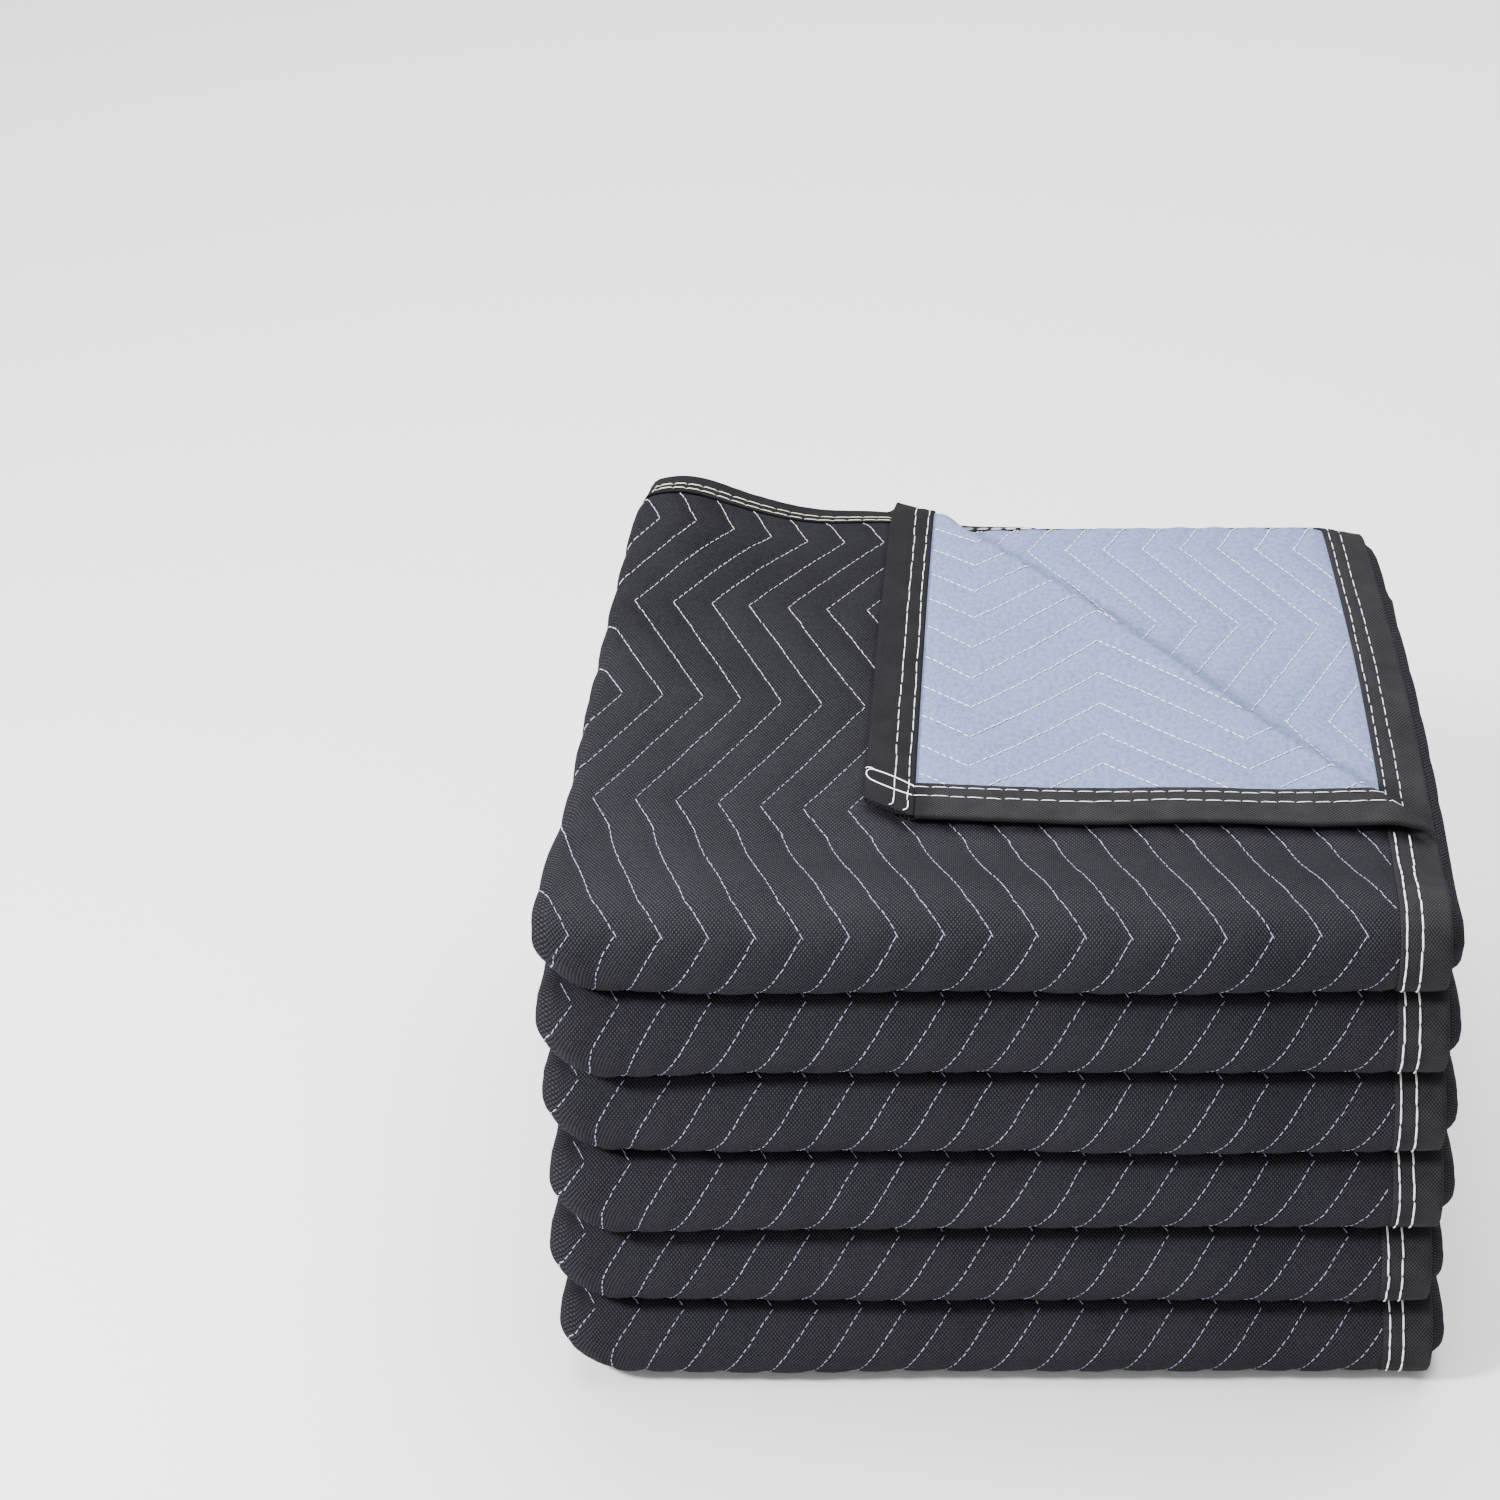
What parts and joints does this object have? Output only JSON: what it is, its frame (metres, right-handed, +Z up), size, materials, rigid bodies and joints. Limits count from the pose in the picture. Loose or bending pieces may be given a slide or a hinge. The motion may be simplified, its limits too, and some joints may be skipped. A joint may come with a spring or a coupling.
{
  "type": "stack of moving blankets",
  "caption": "Stack of folded quilted moving blankets with bound edges, a corner of the top one turned back to show its lighter side.",
  "frame": {"origin": "middle of the stack's footprint, on the surface that it rests on", "axes": "+Z up, -Y towards the round noses at the front of the stack, +X towards the bound side edges"},
  "size_m": [0.6426, 0.527, 0.4572],
  "materials": {
    "quilted_cloth": "dark non-woven face with a fine embossed diagonal grain, blue-grey felt-like back, quilted in chevrons with pale thread",
    "binding_tape": "dark non-woven binding tape, sewn down with two rows of pale stitches"
  },
  "bodies": {
    "root": {"blanket_1_cloth": "quilted_cloth", "blanket_1_binding_right": "binding_tape", "blanket_1_binding_left": "binding_tape", "blanket_1_binding_back": "binding_tape", "blanket_1_binding_under": "binding_tape", "blanket_2_cloth": "quilted_cloth", "blanket_2_binding_right": "binding_tape", "blanket_2_binding_left": "binding_tape", "blanket_2_binding_back": "binding_tape", "blanket_2_binding_under": "binding_tape", "blanket_3_cloth": "quilted_cloth", "blanket_3_binding_right": "binding_tape", "blanket_3_binding_left": "binding_tape", "blanket_3_binding_back": "binding_tape", "blanket_3_binding_under": "binding_tape", "blanket_4_cloth": "quilted_cloth", "blanket_4_binding_right": "binding_tape", "blanket_4_binding_left": "binding_tape", "blanket_4_binding_back": "binding_tape", "blanket_4_binding_under": "binding_tape", "blanket_5_cloth": "quilted_cloth", "blanket_5_binding_right": "binding_tape", "blanket_5_binding_left": "binding_tape", "blanket_5_binding_back": "binding_tape", "blanket_5_binding_under": "binding_tape", "blanket_6_cloth": "quilted_cloth", "blanket_6_binding_right": "binding_tape", "blanket_6_binding_left": "binding_tape", "blanket_6_binding_back": "binding_tape", "blanket_6_binding_under": "binding_tape"}
  },
  "joints": []
}
